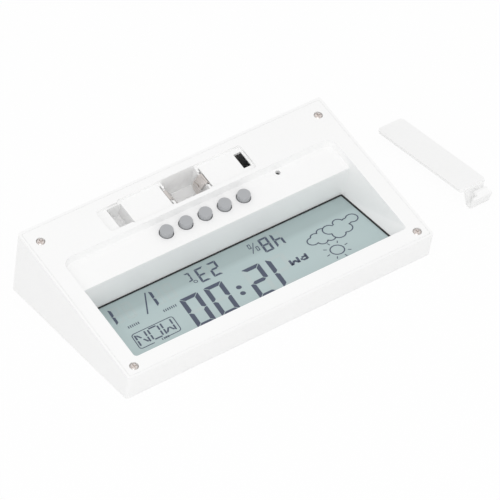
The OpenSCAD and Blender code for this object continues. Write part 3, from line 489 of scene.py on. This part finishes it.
letter_strokes = {
    "M": ((0, 0, 0, 0.47), (0, 0.53, 0, 1), (1, 0, 1, 0.47), (1, 0.53, 1, 1),
          (0.14, 0.93, 0.46, 0.56), (0.86, 0.93, 0.54, 0.56)),
    "O": ((0, 0.04, 0, 0.47), (0, 0.53, 0, 0.96), (1, 0.04, 1, 0.47), (1, 0.53, 1, 0.96),
          (0.1, 0, 0.9, 0), (0.1, 1, 0.9, 1)),
    "N": ((0, 0, 0, 0.47), (0, 0.53, 0, 1), (1, 0, 1, 0.47), (1, 0.53, 1, 1),
          (0.14, 0.93, 0.46, 0.56), (0.54, 0.44, 0.86, 0.07))}
rise = letter_top - letter_bottom
for number, letter in enumerate("MON"):
    start = frame_left + 1.7 + number * letter_pitch
    for x0, y0, x1, y1 in letter_strokes[letter]:
        weekday_parts.append(stroke(start + x0 * letter_width, letter_bottom + y0 * rise,
                                    start + x1 * letter_width, letter_bottom + y1 * rise, letter_line))
printed("weekday_frame", weekday_parts, ink)

tick_pitch, tick_line = 0.95, 0.42
legend_parts = []
for start, bottom, top, count in ((31.6, 13.9, 15.5, 7), (49.7, 13.9, 15.5, 6), (44.6, 28.4, 29.8, 4)):
    for number in range(count):
        x = start + number * tick_pitch
        legend_parts.append(pointed(x, bottom, x + slant * (top - bottom), top, tick_line))
printed("legend_ticks", legend_parts, ink)

mark_bottom, mark_top, mark_line = 19.2, 22.9, 1.05
letter_p = ((0, 0, 0, 1), (0, 0.9, 0.85, 0.9), (0, 0.42, 0.85, 0.42), (0.95, 0.5, 0.95, 0.85))
letter_m = ((0, 0, 0, 1), (1, 0, 1, 1), (0.05, 0.95, 0.5, 0.35), (0.95, 0.95, 0.5, 0.35))
mark_parts = []
for start, width, strokes in ((-28.9, 2.6, letter_p), (-24.9, 3.6, letter_m)):
    rise = mark_top - mark_bottom
    for x0, y0, x1, y1 in strokes:
        ends = [(start + x * width + slant * y * rise, mark_bottom + y * rise)
                for x, y in ((x0, y0), (x1, y1))]
        mark_parts.append(pointed(*ends[0], *ends[1], mark_line, 0.3))
printed("half_day_mark", mark_parts, ink)

# The weather picture is a plain sun over two clouds, each cloud a ring of arcs round its lobes.
icon_line = 0.55


def outside(point, lobes):
    return all(math.dist(point, (x, y)) > radius for x, y, radius in lobes)


sun_x, sun_y, sun_radius, ray_start, ray_end, ray_line = -41.1, 25.6, 3.0, 4.3, 5.9, 0.42
weather_parts = [ring(sun_x, sun_y, sun_radius, icon_line)]
for number in range(8):
    turn = math.radians(10 + 45 * number)
    weather_parts.append(pointed(
        sun_x + ray_start * math.cos(turn), sun_y + ray_start * math.sin(turn),
        sun_x + ray_end * math.cos(turn), sun_y + ray_end * math.sin(turn), ray_line))
front_cloud = [(-57.9, 12.2, 2.6), (-55.0, 12.6, 2.0), (-52.3, 16.0, 2.8), (-47.9, 17.2, 2.9),
               (-46.0, 12.9, 2.9), (-51.5, 11.3, 2.3)]
rear_cloud = [(-43.6, 17.2, 2.1), (-39.7, 17.0, 2.2), (-36.2, 15.0, 2.4), (-38.8, 13.3, 2.2),
              (-42.6, 12.2, 2.2)]
front_hearts, rear_hearts = [(-50.3, 14.2, 3.0)], [(-40.8, 14.8, 2.4), (-43.2, 14.9, 2.5)]
for number, (x, y, radius) in enumerate(front_cloud):
    others = front_cloud[:number] + front_cloud[number + 1:] + front_hearts
    weather_parts.append(ring(x, y, radius, icon_line, lambda point: outside(point, others)))
for number, (x, y, radius) in enumerate(rear_cloud):
    others = rear_cloud[:number] + rear_cloud[number + 1:] + front_cloud + front_hearts + rear_hearts
    weather_parts.append(ring(x, y, radius, icon_line, lambda point: outside(point, others)))
printed("weather_picture", weather_parts, ink)

# The five keys are grey ABS caps on a silicone mat, pushed through round holes in the shelf.
key_plastic = moulded_plastic("key_plastic", (0.43, 0.44, 0.455), 0.38, 0.5)
for key in range(1, 6):
    soften(f"button_{key}", f"key_cap_{key}", 0.1 * MM, key_plastic, body=f"key_{key}")

# The top plate is one white moulding: the rim's panel, the display well, the key shelf and the battery bay.
# The well's side walls twist a little from the display to the plate, so each is evened out.
plate_white = (0.975, 0.975, 0.973)
plate_plastic = moulded_plastic("plate_plastic", plate_white, 0.45, 0.58, edge=0.04 * MM)
well_half, least_area = 60 * MM, 20 * MM * MM


def side_of_well(face):
    """Whether a face is one of the large ones that make a side wall of the display well."""
    inward = face.normal.x * face.center.x < 0
    return inward and abs(face.center.x) > well_half and face.center.y < 0 and face.area > least_area


soften("top_plate", "top_moulding", 0, plate_plastic, merged=0.002 * MM, evened=side_of_well)

# The battery contacts are nickel-plated spring steel strip, blanked and folded.
# Their colour carries painted reflection bands: stretched noise darkens the metal in broad bands, standing
# in for darker surroundings it would mirror, over real rolling marks.
contact_metal = bare_metal(
    "contact_metal", (0.86, 0.81, 0.78), 0.1, 0.26, streak=(1, 0.3, 0.5), scale=1.3 * MM, polish_and_reflection_dark=0.55)
for node in ("negative_contact", "spring_contact"):
    dress(frame["nodes"][node], contact_metal)

# Four cross-head screws hold the plate to the case's columns, sunk in counterbores.
screw_metal = bare_metal("screw_metal", (0.92, 0.86, 0.83), 0.15, 0.3, polish_and_reflection_dark=0.7)
soften("corner_screws", "plate_screws", 0.06 * MM, screw_metal, merged=0.005 * MM)

# The battery cover lies beside the clock, resting on its bent latch and its tongue.
cover_plastic = moulded_plastic("cover_plastic", plate_white, 0.45, 0.58)
dress(frame["nodes"]["battery_cover"], cover_plastic)

# The clock lies on a plain white table top in a white room, under one large soft lamp.
floor_size = 6.0
bpy.ops.mesh.primitive_grid_add(x_subdivisions=12, y_subdivisions=12, size=floor_size,
                                location=(0, 0, -0.02 * MM))
table = bpy.context.object
table.name = "table_top"
table_finish = Finish("table_white", roughness=0.9)
table_finish.set("Base Color", (0.9, 0.9, 0.9))
table_finish.set("Specular IOR Level", 0.0)
rays = table_finish.tree.nodes.new("ShaderNodeLightPath")
seen = Value(table_finish, rays.outputs["Is Camera Ray"])
mirrored = Value(table_finish, rays.outputs["Is Glossy Ray"])
through = Value(table_finish, rays.outputs["Is Transmission Ray"])
glow = table_finish.node("ShaderNodeEmission", {"Color": (1, 1, 1), "Strength": 1.0})
shown = table_finish.node("ShaderNodeMixShader", [
    (seen + mirrored + through) * 0.95, Value(table_finish, table_finish.shader.outputs[0]), glow])
table_finish.tree.links.new(shown.socket, table_finish.tree.nodes["Material Output"].inputs["Surface"])
dress(table, table_finish.material)

world = bpy.data.worlds.new("white_room")
bpy.context.scene.world = world
world.use_nodes = True
room = world.node_tree.nodes["Background"]
room.inputs["Color"].default_value = (1, 1, 1, 1)
room.inputs["Strength"].default_value = 0.87

bpy.ops.object.light_add(type="AREA", location=(-0.5, -0.8, 0.77))
lamp = bpy.context.object
lamp.name = "soft_lamp"
lamp.data.shape = "DISK"
lamp.data.size = 0.8
lamp.data.energy = 2.4
lamp.rotation_euler = (Vector((0, 0, 0)) - lamp.location).to_track_quat("-Z", "Y").to_euler()

# The camera stands where the photograph's camera stood, with a long lens.
azimuth, elevation, roll = math.radians(-32.073), math.radians(39.226), math.radians(-3.452)
back = Vector((math.sin(azimuth) * math.cos(elevation), -math.cos(azimuth) * math.cos(elevation),
               math.sin(elevation)))
right = Vector((math.cos(azimuth), math.sin(azimuth), 0))
up = back.cross(right)
turned_right = math.cos(roll) * right + math.sin(roll) * up
turned_up = math.cos(roll) * up - math.sin(roll) * right
bpy.ops.object.camera_add()
camera = bpy.context.object
camera.matrix_world = Matrix.Translation((-0.6676, -1.0888, 1.0529)) @ Matrix(
    (turned_right, turned_up, back)).transposed().to_4x4()
camera.data.lens = 288
camera.data.sensor_width = 36
camera.data.sensor_fit = "HORIZONTAL"
camera.data.clip_start = 0.05
bpy.context.scene.camera = camera
bpy.context.scene.view_settings.view_transform = "Standard"
